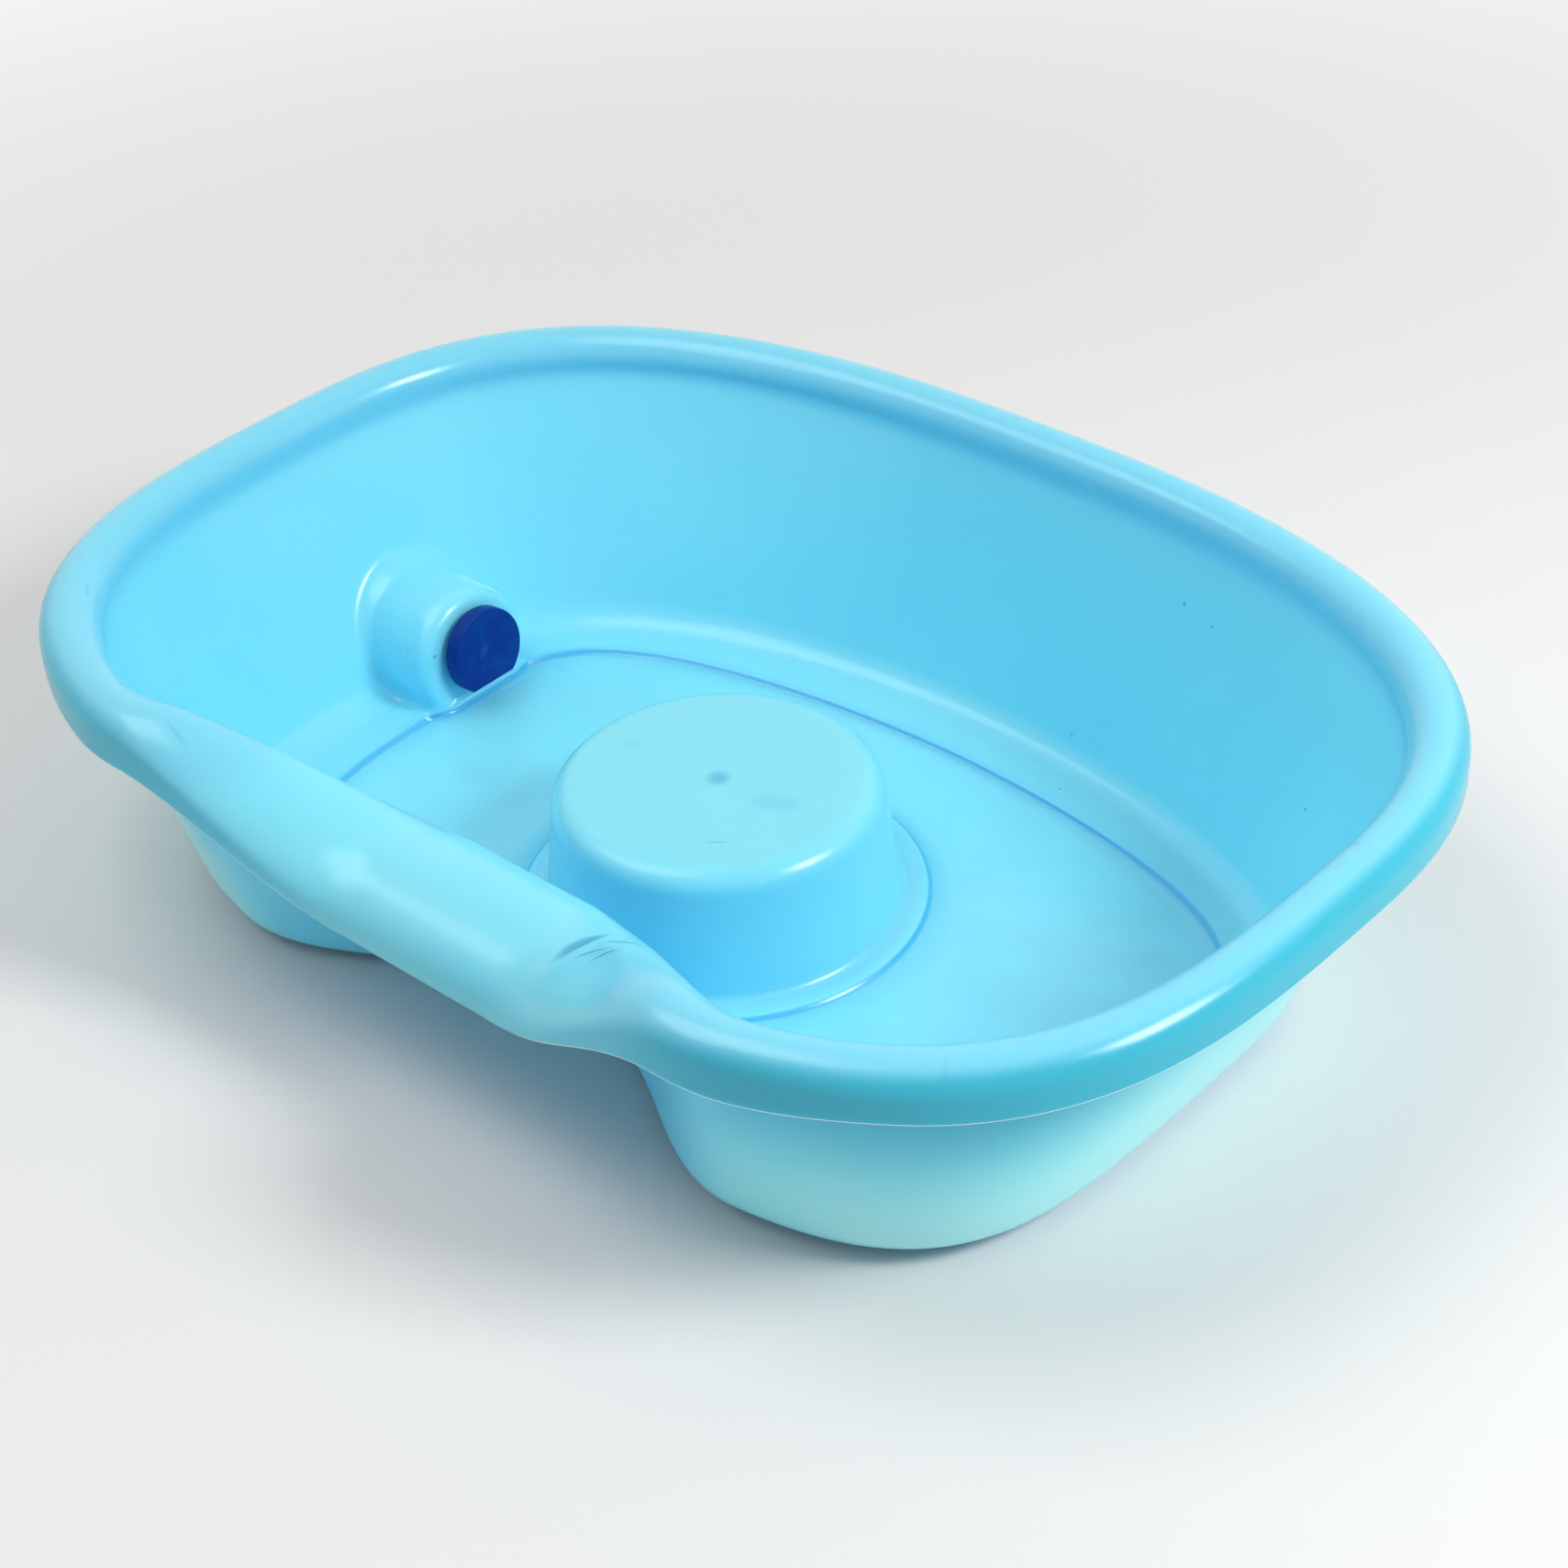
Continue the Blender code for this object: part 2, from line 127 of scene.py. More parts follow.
def join_solid(piece: Piece, other: Piece, join: Join) -> None:
    """Join another solid to a piece or cut it out, and remove the other.

    Args:
        piece: The piece that is kept.
        other: The solid that is used up.
        join: How it changes the piece.
    """
    boolean = piece.modifiers.new(other.name, "BOOLEAN")
    boolean.object = other
    boolean.operation = join.value
    boolean.solver = "EXACT"
    apply_modifier(piece, boolean)
    bpy.data.objects.remove(other, do_unlink=True)


def select_where(piece: Piece, test: Callable[[Vector], bool]) -> int:
    """Select the faces of a piece in edit mode whose middles pass a test.

    Args:
        piece: The piece, already in edit mode.
        test: Says of a point whether it counts.

    Returns:
        How many faces are selected.
    """
    bpy.ops.mesh.select_mode(type="FACE")
    mesh = bmesh.from_edit_mesh(piece.data)
    for face in mesh.faces:
        face.select_set(test(face.calc_center_median()))
    mesh.select_flush_mode()
    bmesh.update_edit_mesh(piece.data)
    return sum(face.select for face in mesh.faces)


def smooth(share: float | np.ndarray) -> float | np.ndarray:
    """Ease a share in and out between 0 and 1."""
    share = np.clip(share, 0, 1)
    return share * share * (3 - 2 * share)


def blend(start: float, end: float, share: float) -> float:
    """Return the value at a share of the way from start to end."""
    return start + (end - start) * share


def shares(steps: int) -> list[float]:
    """Return even shares above 0 and up to 1, one for each step."""
    return [(step + 1) / steps for step in range(steps)]


def bell(share: float) -> float:
    """Return 1 in the middle of a run, at a share of a half, and less at its ends."""
    return 1 - (share - 0.5) ** 2 * 2.8


@dataclass(frozen=True)
class Outline:
    """A closed plan outline of two half superellipses around a point on the split line.

    Attributes:
        middle_x: The x of its middle.
        half_length: Reach along X.
        back: Reach towards +Y.
        front: Reach towards -Y.
        along_power: Squareness of the back half along X.
        back_power: Squareness of the back half along Y.
        front_power: Squareness of the front half.
    """

    middle_x: float
    half_length: float
    back: float
    front: float
    along_power: float
    back_power: float
    front_power: float

    def grown(self, distance: float) -> "Outline":
        """Return the outline moved outward by a distance on every side."""
        return replace(
            self,
            half_length=self.half_length + distance,
            back=self.back + distance,
            front=self.front + distance,
        )

    def blended(self, other: "Outline", share: float) -> "Outline":
        """Return the outline at a share of the way to another one."""
        pairs = zip(astuple(self), astuple(other))
        return Outline(*(blend(start, end, share) for start, end in pairs))

    def points(self, turns: np.ndarray) -> tuple[np.ndarray, np.ndarray]:
        """Return the outline's points at some turns around its own middle.

        Args:
            turns: Angles from +X.

        Returns:
            The points' x, and their y from the split line.
        """
        along, across = np.cos(turns), np.sin(turns)
        at_back = across >= 0
        reach = np.where(at_back, self.back, self.front)
        along_power = np.where(at_back, self.along_power, self.front_power)
        across_power = np.where(at_back, self.back_power, self.front_power)
        along_part, across_part = np.abs(along / self.half_length), np.abs(across / reach)
        radius = 1 / np.maximum(along_part, across_part)
        for _ in range(12):
            along_term = (radius * along_part) ** along_power
            across_term = (radius * across_part) ** across_power
            slope = (along_power * along_term + across_power * across_term) / radius
            radius = radius - (along_term + across_term - 1) / slope
        return self.middle_x + radius * along, radius * across


@dataclass(frozen=True)
class Station:
    """One ring of the basin's surface, and its place at the neck rest.

    Attributes:
        outline: The ring's plan outline.
        height: Its height away from the neck rest.
        rest_y: Its y at the middle of the neck rest.
        rest_height: Its height there.
        half_span: How far from x = 0 it starts to leave its outline.
        sag: How much lower it hangs beside the neck rest.
        crease_shade: How much painted shade darkens it in the fold of a step.
    """

    outline: Outline
    height: float
    rest_y: float
    rest_height: float
    half_span: float
    sag: float = 0.0
    crease_shade: float = 0.0


@dataclass(frozen=True)
class Ring:
    """One ring of the basin's surface.

    Attributes:
        points: One row per point.
        crease_shade: How much painted shade darkens it in the fold of a step, up to 1.
    """

    points: np.ndarray
    crease_shade: float = 0.0

    def towards(self, other: "Ring", steps: int) -> list["Ring"]:
        """Return the rings that lie evenly between this one and another, so many steps off."""
        return [Ring(blend(self.points, other.points, share)) for share in shares(steps)[:-1]]


@dataclass
class NeckRest:
    """The wide saddle in the front side that the rim and the wall run into."""

    rim_span: float = 0.144
    foot_span: float = 0.112
    drop_span: float = 0.121
    spread_share: float = 0.81
    drop_share: float = 0.72
    width: float = 0.0565
    rise: float = 0.0187
    crown_height: float = 0.0738
    setback: float = 0.0141
    skirt_drop: float = 0.0012
    sag_span: float = 0.19
    sag_share: float = 0.25
    wall_angle: float = math.radians(-8)

    @staticmethod
    def turned_in(x: np.ndarray, half_span: float, ramp_share: float) -> np.ndarray:
        """Return the shares by which a ring has turned into the rest at places along X."""
        return smooth((half_span - np.abs(x)) / (half_span * ramp_share))

    def roll(self, front_y: float, angle: float) -> tuple[float, float]:
        """Return the y and height of the rest's dome at an angle over its crown.

        Args:
            front_y: The basin's front.
            angle: 0 at the dome's inner side, and half a turn at its outer side.

        Returns:
            The point's y and height.
        """
        middle = front_y + self.setback + self.width / 2
        base = self.crown_height - self.rise
        return (
            middle + self.width / 2 * math.cos(angle),
            base + self.rise * math.sin(angle),
        )


@dataclass
class Pedestal:
    """The hollow round stand for the head, with the ledge around its foot."""

    y: float = -0.0162
    height: float = 0.049
    radius: float = 0.058
    flare: float = 0.004
    edge: float = 0.0085
    cove: float = 0.004
    ledge_width: float = 0.009
    ledge_rise: float = 0.0015
    ledge_run: float = 0.002
    gate_radius: float = 0.0045
    gate_depth: float = 0.0006

    @property
    def foot_radius(self) -> float:
        """Return the radius at which the wall would meet the ledge."""
        return self.radius + self.flare

    @property
    def outer_radius(self) -> float:
        """Return the radius of the ledge's own foot."""
        return self.foot_radius + self.ledge_width + self.ledge_run

    def crease_shade(self, radius: float) -> float:
        """Return how much painted shade darkens a radius in the fold at the ledge's foot."""
        share = 1 - (self.outer_radius - radius) / self.ledge_run
        return bell(share) if share > 0 else 0.0

    def profile(self, floor: float) -> list[tuple[float, float]]:
        """Return the radii and heights of the pedestal's rings, from its middle out.

        Args:
            floor: The floor's height.

        Returns:
            The rings.
        """
        top = floor + self.height
        ledge = floor + self.ledge_rise
        flat = self.radius - self.edge
        foot = self.foot_radius
        rings = [
            (self.gate_radius * share, top - self.gate_depth * (1 - smooth(share)))
            for share in shares(5)
        ]
        rings += [(blend(self.gate_radius, flat, share ** 1.5), top) for share in shares(7)]
        for share in shares(8):
            angle = math.pi / 2 * share
            out, down = math.sin(angle), 1 - math.cos(angle)
            rings.append((flat + self.edge * out, top - self.edge * down))
        wall_top, wall_foot = top - self.edge, ledge + self.cove
        for share in shares(6):
            rings.append((blend(self.radius, foot, share), blend(wall_top, wall_foot, share)))
        for share in shares(5):
            angle = math.pi / 2 * share
            out, down = 1 - math.cos(angle), math.sin(angle)
            rings.append((foot + self.cove * out, wall_foot - self.cove * down))
        rings.append((foot + self.ledge_width, ledge))
        for share in shares(4):
            rings.append((
                foot + self.ledge_width + self.ledge_run * share,
                blend(ledge, floor, smooth(share)),
            ))
        return rings


@dataclass
class DrainBoss:
    """The round boss in the left end wall, blended into the wall and the floor.

    Attributes:
        face_x: Where the boss's face crosses the drain's axis.
        apex_back: How far behind the face lies the point that the boss swells from.
        apex_height: That point's height, just below the floor.
    """

    face_x: float
    y: float = 0.0180
    height: float = 0.0240
    tilt: float = math.radians(6)
    radius: float = 0.0262
    drop: float = 0.0045
    edge: float = 0.005
    fillet: float = 0.0055
    apex_back: float = 0.055
    apex_height: float = -0.003
    margin: float = 0.012
    bore_radius: float = 0.0099
    spigot_wall: float = 0.0022
    spigot_length: float = 0.028
    bead_rise: float = 0.001
    bead_length: float = 0.003
    sides: int = 64

    @property
    def lean(self) -> float:
        """Return how far the face leans back per unit of height."""
        return math.tan(self.tilt)

    @property
    def axis_place(self) -> Matrix:
        """Return the matrix whose Z axis is the drain's axis, into the basin."""
        turn = Euler((0, math.pi / 2 - self.tilt, 0)).to_matrix().to_4x4()
        return Matrix.Translation((self.face_x, self.y, self.height)) @ turn

    def distance(self, point: Vector) -> float:
        """Return a point's distance outside the boss, which is below 0 inside it.

        Args:
            point: The point.

        Returns:
            The distance.
        """
        rise = point.z - (self.height - self.drop)
        from_face = point.x + (point.z - self.height) * self.lean - self.face_x
        out = math.hypot(point.y - self.y, rise) - (self.radius - self.edge)
        ahead = from_face + self.edge
        inner = min(max(ahead, out), 0.0)
        return inner + math.hypot(max(ahead, 0.0), max(out, 0.0)) - self.edge

    def blended_distance(self, point: Vector, basin: BVHTree) -> float:
        """Return a point's distance outside the basin and boss with their fillet.

        Args:
            point: The point.
            basin: The basin's surface without the boss.

        Returns:
            The distance.
        """
        from_boss = self.distance(point)
        if from_boss > self.fillet:
            return from_boss
        from_basin = basin.find_nearest(point)[3]
        corner = math.hypot(
            max(self.fillet - from_boss, 0.0), max(self.fillet - from_basin, 0.0)
        )
        return max(self.fillet, min(from_boss, from_basin)) - corner

    def near(self, point: Vector) -> bool:
        """Say whether a point of the basin's surface lies in reach of the boss.

        Args:
            point: The point.

        Returns:
            Whether it does.
        """
        reach = self.radius + self.fillet + self.margin / 2
        across = abs(point.y - self.y) < reach
        return across and point.x < self.face_x + self.margin and point.z < self.height + reach

    def raise_from(self, piece: Piece) -> None:
        """Swell the boss out of the basin's surface, with a fillet around it.

        Each point near the boss moves away from a point below the floor, along the line
        through both, until it lies on the blended surface.

        Args:
            piece: The basin's open surface, in object mode.
        """
        basin = BVHTree.FromObject(piece, bpy.context.evaluated_depsgraph_get())
        apex = Vector((self.face_x - self.apex_back, self.y, self.apex_height))
        tolerance = self.fillet * 0.002
        for vertex in piece.data.vertices:
            if not self.near(vertex.co):
                continue
            away = vertex.co - apex
            far = away.length
            away.normalize()
            point = vertex.co.copy()
            for _ in range(60):
                gap = self.blended_distance(point, basin)
                if gap > -tolerance:
                    break
                far -= gap
                point = apex + away * far
            vertex.co = point

    def cylinder(self, name: str, radius: float, front: float, back: float) -> Piece:
        """Add a cylinder around the drain's axis.

        Args:
            name: Its name.
            radius: Its radius.
            front: Where its front lies, into the basin from the boss's face.
            back: Where its back lies, on the same scale.

        Returns:
            The cylinder.
        """
        deselect_all()
        bpy.ops.mesh.primitive_cylinder_add(
            vertices=self.sides, radius=radius, depth=front - back
        )
        solid = named(name)
        apply_place(solid, self.axis_place @ Matrix.Translation((0, 0, (front + back) / 2)))
        return solid

    def add_spigot(self, piece: Piece, skin: float) -> None:
        """Add the hose spigot behind the boss's face, and cut the bore through both.

        Args:
            piece: The basin with its skin.
            skin: The skin's thickness.
        """
        outer = self.bore_radius + self.spigot_wall
        end = -skin - self.spigot_length
        spigot = self.cylinder("spigot", outer, -skin / 2, end)
        edit(spigot)
        inward = self.axis_place.to_3x3() @ Vector((0, 0, 1))
        end_point = self.axis_place @ Vector((0, 0, end))
        select_where(spigot, lambda point: (point - end_point).dot(inward) < skin / 10)
        for distance, scale in (
            (self.bead_length / 3, 1 + self.bead_rise / outer),
            (self.bead_length / 3, 1),
            (self.bead_length / 3, 1 / (1 + self.bead_rise / outer)),
        ):
            bpy.ops.mesh.extrude_region_move(
                TRANSFORM_OT_translate={"value": tuple(-inward * distance)}
            )
            bpy.ops.transform.resize(value=(scale, scale, scale))
        bpy.ops.object.mode_set(mode="OBJECT")
        join_solid(piece, spigot, Join.UNION)
        bore = self.cylinder("bore", self.bore_radius, skin * 3, end - self.spigot_length)
        join_solid(piece, bore, Join.DIFFERENCE)


@dataclass
class Basin:
    """The basin's moulding: its skin's upper side is lofted, and then gets its thickness."""

    length: float
    height: float
    width: float = 0.3447
    skin: float = 0.0024
    split_y: float = 0.0088
    front_bow: float = 0.0088
    rim_back_power: float = 2.6
    rim_front_power: float = 3.25
    foot_back_power: float = 3.05
    foot_front_power: float = 4.5
    floor_back_power: float = 3.85
    floor_front_power: float = 3.7
    foot_along_power: float = 1.8
    foot_shift: float = 0.004
    end_lean: float = 0.0356
    back_lean: float = 0.033
    front_lean: float = 0.0245
    foot_fillet: float = 0.0098
    rim_radius: float = 0.0095
    skirt_drop: float = 0.0075
    skirt_sag: float = 0.0026
    wall_top_angle: float = math.radians(-18)
    band_width: float = 0.024
    band_rise: float = 0.002
    step_run: float = 0.0026
    front_gap: float = 0.0088
    boss_reach: float = 0.0239
    lip_edge: float = 0.0006
    segments: int = 300

    def __post_init__(self) -> None:
        """Make the parts that the basin's surface runs into."""
        self.rest = NeckRest()
        self.pedestal = Pedestal()
        foot = self.foot_outline()
        self.boss = DrainBoss(face_x=foot.middle_x - foot.half_length + self.boss_reach)

    def rim_outline(self) -> Outline:
        """Return the outline that the middle of the rim's roll follows."""
        return Outline(
            0.0,
            self.length / 2 - self.rim_radius,
            self.width / 2 - self.split_y - self.rim_radius,
            self.width / 2 + self.split_y + self.front_bow - self.rim_radius,
            self.rim_back_power,
            self.rim_back_power,
            self.rim_front_power,
        )

    def foot_outline(self) -> Outline:
        """Return the outline where the walls would meet the floor's band."""
        top = self.rim_outline().grown(-self.rim_radius)
        return Outline(
            self.foot_shift,
            top.half_length - self.end_lean,
            top.back - self.back_lean,
            top.front - self.front_lean,
            self.foot_along_power,
            self.foot_back_power,
            self.foot_front_power,
        )

    def floor_outline(self) -> Outline:
        """Return the outline of the flat that the basin stands on."""
        return replace(
            self.foot_outline().grown(-self.band_width),
            back_power=self.floor_back_power,
            front_power=self.floor_front_power,
        )

    def turns(self) -> np.ndarray:
        """Return the turns of the points in each ring, closer at the boss and the rest.

        Returns:
            Angles from +X, in order.
        """
        fine = np.linspace(0, 2 * math.pi, 8001)
        x, y = self.rim_outline().points(fine)
        y = y + self.split_y
        step = np.hypot(np.diff(x), np.diff(y))
        mid_x, mid_y = (x[1:] + x[:-1]) / 2, (y[1:] + y[:-1]) / 2
        near_boss = (mid_x < 0) & (np.abs(mid_y - self.boss.y) < self.boss.radius * 2)
        near_rest = (mid_y < 0) & (np.abs(mid_x) < self.rest.rim_span)
        weight = step * (1 + 1.8 * near_boss + 0.6 * near_rest)
        travel = np.concatenate([[0], np.cumsum(weight)])
        wanted = np.arange(self.segments) / self.segments * travel[-1]
        return np.interp(wanted, travel, fine)

    def ring(self, station: Station, turns: np.ndarray) -> Ring:
        """Return a station's ring, with its front drawn into the neck rest.

        Args:
            station: The ring's outline and heights.
            turns: The turns of its points.

        Returns:
            The ring.
        """
        x, y = station.outline.points(turns)
        at_front = np.sin(turns) < 0
        spread = at_front * self.rest.turned_in(x, station.half_span, self.rest.spread_share)
        drop = at_front * self.rest.turned_in(x, self.rest.drop_span, self.rest.drop_share)
        beside = at_front * self.rest.turned_in(x, self.rest.sag_span, self.rest.sag_share)
        front_y = self.split_y - station.outline.front
        points = np.column_stack([
            x,
            y + self.split_y + (station.rest_y - front_y) * spread,
            blend(station.height - station.sag * beside, station.rest_height, drop),
        ])
        return Ring(points, station.crease_shade)

    def pedestal_rings(self, turns: np.ndarray) -> list[Ring]:
        """Return the rings of the pedestal and its ledge.

        Args:
            turns: The turns of each ring's points.

        Returns:
            The rings, from the middle out.
        """
        rings = []
        for radius, height in self.pedestal.profile(self.skin):
            x, y = radius * np.cos(turns), self.pedestal.y + radius * np.sin(turns)
            points = np.column_stack([x, y, np.full_like(turns, height)])
            rings.append(Ring(points, self.pedestal.crease_shade(radius)))
        return rings

    def floor_stations(self) -> list[Station]:
        """Return the stations of the floor's edge, its step and its raised band.

        Returns:
            The stations, from the inside out.
        """
        floor = self.floor_outline()
        strip = self.front_gap / 4
        edge_y = self.pedestal.y - self.pedestal.outer_radius - strip
        span = self.rest.foot_span
        stations = []
        for share in [0, *shares(5)]:
            height = self.skin + self.band_rise * smooth(share)
            outline = floor.grown(self.step_run * share)
            rest_y = edge_y - strip * share
            # Painted shade darkens the step's fold most halfway down it.
            stations.append(Station(outline, height, rest_y, height, span, 0, bell(share)))
        return stations

    def wall_stations(self) -> list[Station]:
        """Return the stations of the walls, from the fillet at their foot to the rim.

        Returns:
            The stations, from the foot up.
        """
        foot = self.foot_outline()
        top = self.rim_outline().grown(-self.rim_radius * math.cos(self.wall_top_angle))
        low = self.skin + self.band_rise
        rim_height = self.height - self.rim_radius
        high = rim_height + self.rim_radius * math.sin(self.wall_top_angle)
        rest_foot = self.pedestal.y - self.pedestal.outer_radius - self.front_gap
        rest_top_y, rest_high = self.rest.roll(-self.width / 2, self.rest.wall_angle)
        fillet_share = self.foot_fillet / (high - low)
        climbs = [(share ** 2 * fillet_share, 1 - share) for share in [0, *shares(10)]]
        climbs += [(blend(fillet_share, 1, share), 0) for share in shares(18)]
        stations = []
        for climb, short in climbs:
            inset = short ** 2 * self.foot_fillet
            rest_inset = short ** 2 * self.front_gap / 4
            stations.append(Station(
                foot.blended(top, climb).grown(-inset),
                blend(low, high, climb),
                blend(rest_foot, rest_top_y, climb) + rest_inset,
                blend(low, rest_high, climb),
                blend(self.rest.foot_span, self.rest.rim_span, climb),
            ))
        return stations

    def rim_stations(self) -> list[Station]:
        """Return the stations of the rolled rim and of its skirt.

        Returns:
            The stations, from the inside out.
        """
        centre = self.rim_outline()
        rim_height = self.height - self.rim_radius
        rest_start = self.rest.wall_angle
        stations = []
        for share in shares(22):
            angle = blend(self.wall_top_angle, math.pi, share)
            rest_y, rest_height = self.rest.roll(
                -self.width / 2, blend(rest_start, math.pi, share)
            )
            stations.append(Station(
                centre.grown(-self.rim_radius * math.cos(angle)),
                rim_height + self.rim_radius * math.sin(angle),
                rest_y,
                rest_height,
                self.rest.rim_span,
            ))
        last = stations[-1]
        for share in shares(4):
            stations.append(replace(
                last,
                height=last.height - self.skirt_drop * share,
                rest_height=last.rest_height - self.rest.skirt_drop * share,
                sag=self.skirt_sag * share,
            ))
        return stations

    def rings(self) -> list[Ring]:
        """Return every ring of the surface, from the pedestal's middle to the skirt.

        Returns:
            The rings.
        """
        turns = self.turns()
        inner = self.pedestal_rings(turns)
        floor = [self.ring(station, turns) for station in self.floor_stations()]
        walls = [self.ring(station, turns) for station in self.wall_stations()]
        rim = [self.ring(station, turns) for station in self.rim_stations()]
        across = inner[-1].towards(floor[0], 9)
        band = floor[-1].towards(walls[0], 4)
        return [*inner, *across, *floor, *band, *walls, *rim]

    def loft(self) -> Piece:
        """Model the skin's upper side, from a circle that is extruded ring by ring.

        Returns:
            The open surface.
        """
        rings = self.rings()
        deselect_all()
        bpy.ops.mesh.primitive_circle_add(
            vertices=self.segments,
            radius=self.pedestal.gate_radius,
            fill_type="TRIFAN",
            location=(0, self.pedestal.y, rings[0].points[0][2]),
        )
        piece = named("basin_moulding")
        apply_place(piece, Matrix.Identity(4))
        bpy.ops.object.mode_set(mode="EDIT")
        mesh = bmesh.from_edit_mesh(piece.data)
        place = mesh.verts.layers.int.new("place")
        # Each vertex keeps how much painted shade darkens it in the fold at a step.
        mesh.verts.layers.float.new("crease_shade")
        for vertex in mesh.verts:
            turn = math.atan2(vertex.co.y - self.pedestal.y, vertex.co.x) % math.tau
            vertex[place] = round(turn / math.tau * self.segments) % self.segments
            if vertex.is_boundary:
                vertex.co = rings[0].points[vertex[place]]
        bpy.ops.mesh.select_mode(type="EDGE")
        bpy.ops.mesh.select_all(action="DESELECT")
        bpy.ops.mesh.select_non_manifold()
        for ring in rings[1:]:
            bpy.ops.mesh.extrude_edges_move()
            mesh = bmesh.from_edit_mesh(piece.data)
            place = mesh.verts.layers.int["place"]
            crease_shade = mesh.verts.layers.float["crease_shade"]
            mesh.verts.ensure_lookup_table()
            for vertex in mesh.verts[-self.segments:]:
                vertex.co = ring.points[vertex[place]]
                vertex[crease_shade] = ring.crease_shade
        bpy.ops.mesh.select_all(action="SELECT")
        bpy.ops.mesh.normals_make_consistent(inside=False)
        bpy.ops.object.mode_set(mode="OBJECT")
        return piece

    def face_up(self, piece: Piece) -> None:
        """Turn the surface over if its normals point down.

        Args:
            piece: The open surface.
        """
        if piece.data.polygons[0].normal.z < 0:
            edit(piece)
            bpy.ops.mesh.select_all(action="SELECT")
            bpy.ops.mesh.flip_normals()
            bpy.ops.object.mode_set(mode="OBJECT")

    def refine_at_boss(self, piece: Piece) -> None:
        """Subdivide the surface where the boss will rise.

        Args:
            piece: The open surface.
        """
        edit(piece)
        count = select_where(piece, self.boss.near)
        bpy.ops.mesh.subdivide(number_cuts=2)
        bpy.ops.object.mode_set(mode="OBJECT")
        LOG.info("subdivided %d faces at the boss", count)

    def thicken(self, piece: Piece) -> None:
        """Give the surface its skin's thickness, below and outside it.

        Args:
            piece: The open surface.
        """
        solidify = piece.modifiers.new("skin", "SOLIDIFY")
        solidify.thickness = self.skin
        solidify.offset = -1
        solidify.use_even_offset = True
        solidify.use_quality_normals = True
        apply_modifier(piece, solidify)

    def round_lip(self, piece: Piece) -> None:
        """Round the outer edge of the skirt's lip, and flag its faces for a line of painted light.

        Args:
            piece: The basin with its skin.
        """
        lip = self.rings()[-1].points
        edit(piece)
        bpy.ops.mesh.select_mode(type="EDGE")
        bpy.ops.mesh.select_all(action="DESELECT")
        mesh = bmesh.from_edit_mesh(piece.data)
        place = mesh.verts.layers.int["place"]
        on_lip = {
            vertex
            for vertex in mesh.verts
            if (vertex.co - Vector(lip[vertex[place]])).length < self.lip_edge / 10
        }
        for edge in mesh.edges:
            edge.select_set(all(vertex in on_lip for vertex in edge.verts))
        bmesh.update_edit_mesh(piece.data)
        bpy.ops.mesh.bevel(offset=self.lip_edge, segments=3, affect="EDGES")
        mesh = bmesh.from_edit_mesh(piece.data)
        # Flag the rounded lip's faces, which get a line of painted light.
        lip_light = mesh.faces.layers.float.new("lip_light")
        for face in mesh.faces:
            face[lip_light] = float(all(vertex.select for vertex in face.verts))
        bmesh.update_edit_mesh(piece.data)
        bpy.ops.object.mode_set(mode="OBJECT")
        LOG.info("rounded the lip at %d points", len(on_lip))

    def build(self) -> Piece:
        """Model the whole moulding.

        Returns:
            The basin as one piece.
        """
        piece = self.loft()
        self.face_up(piece)
        self.refine_at_boss(piece)
        self.boss.raise_from(piece)
        self.thicken(piece)
        self.round_lip(piece)
        self.boss.add_spigot(piece, self.skin)
        activate(piece)
        bpy.ops.object.shade_smooth_by_angle(angle=math.radians(40))
        return piece


@dataclass
class Stopper:
    """The push-in stopper: a head with one flat side on a tapered shank."""

    axis_place: Matrix
    head_radius: float = 0.0168
    head_back: float = 0.0021
    head_length: float = 0.006
    flat_offset: float = 0.0133
    edge: float = 0.0008
    shank_radius: float = 0.0096
    shank_taper: float = 0.0006
    shank_length: float = 0.014
    sides: int = 128

    def build(self) -> Piece:
        """Model the stopper from a cylinder that is cut, joined to a tapered shank and bevelled.

        Returns:
            The stopper.
        """
        deselect_all()
        bpy.ops.mesh.primitive_cylinder_add(
            vertices=self.sides,
            radius=self.head_radius,
            depth=self.head_length,
            location=(0, 0, self.head_back + self.head_length / 2),
        )
        piece = named("drain_stopper")
        apply_place(piece, Matrix.Identity(4))
        bpy.ops.object.mode_set(mode="EDIT")
        bpy.ops.mesh.select_all(action="SELECT")
        bpy.ops.mesh.bisect(
            plane_co=(self.flat_offset, 0, 0),
            plane_no=(1, 0, 0),
            use_fill=True,
            clear_outer=True,
        )
        bpy.ops.mesh.select_all(action="SELECT")
        bpy.ops.mesh.remove_doubles(threshold=0.00001)
        bpy.ops.mesh.normals_make_consistent(inside=False)
        bpy.ops.object.mode_set(mode="OBJECT")
        shank = self.shank()
        join_solid(piece, shank, Join.UNION)
        bevel = piece.modifiers.new("edges", "BEVEL")
        bevel.width = self.edge
        bevel.segments = 3
        bevel.limit_method = "ANGLE"
        bevel.angle_limit = math.radians(40)
        apply_modifier(piece, bevel)
        bpy.ops.object.shade_smooth_by_angle(angle=math.radians(35))
        apply_place(piece, self.axis_place)
        return piece

    def shank(self) -> Piece:
        """Model the tapered shank that fills the bore.

        Returns:
            The shank.
        """
        length = self.shank_length + self.head_back * 2
        deselect_all()
        bpy.ops.mesh.primitive_cone_add(
            vertices=self.sides,
            radius1=self.shank_radius - self.shank_taper,
            radius2=self.shank_radius,
            depth=length,
            location=(0, 0, length / 2 - self.shank_length),
        )
        shank = named("stopper_shank")
        apply_place(shank, Matrix.Identity(4))
        return shank


